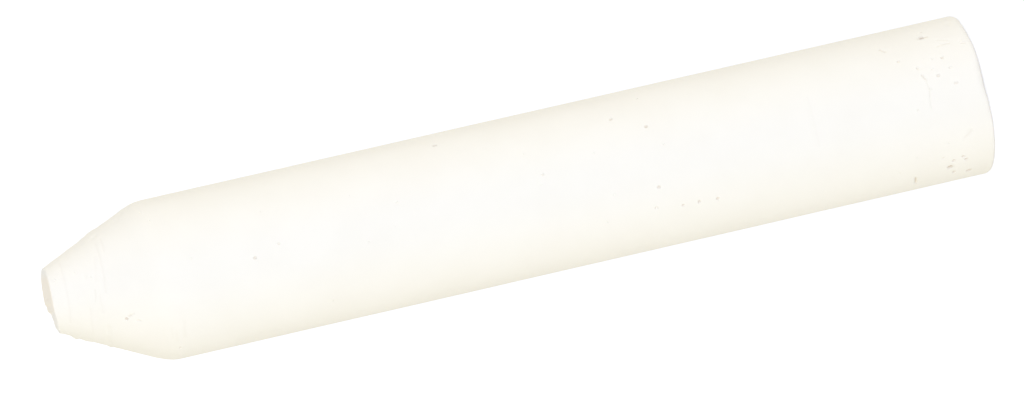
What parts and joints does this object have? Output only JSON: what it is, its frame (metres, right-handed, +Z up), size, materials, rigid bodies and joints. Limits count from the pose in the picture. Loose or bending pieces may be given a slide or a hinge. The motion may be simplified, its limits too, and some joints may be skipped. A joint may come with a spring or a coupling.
{
  "type": "chalk piece",
  "caption": "Round white chalk stick with a flat butt, a straight shaft and a blunt conical tip for writing and marking.",
  "frame": {"origin": "centre of the flat butt face, on the surface that the stick stands on", "axes": "+Z up along the shaft to the tip; the cone leans slightly towards +X, the chip in the tip's rim is on the -X side, and the side seen from the front is -Y"},
  "size_m": [0.0136, 0.0136, 0.08],
  "materials": {
    "chalk": "matte"
  },
  "bodies": {
    "root": {"chalk_stick": "chalk"}
  },
  "joints": []
}
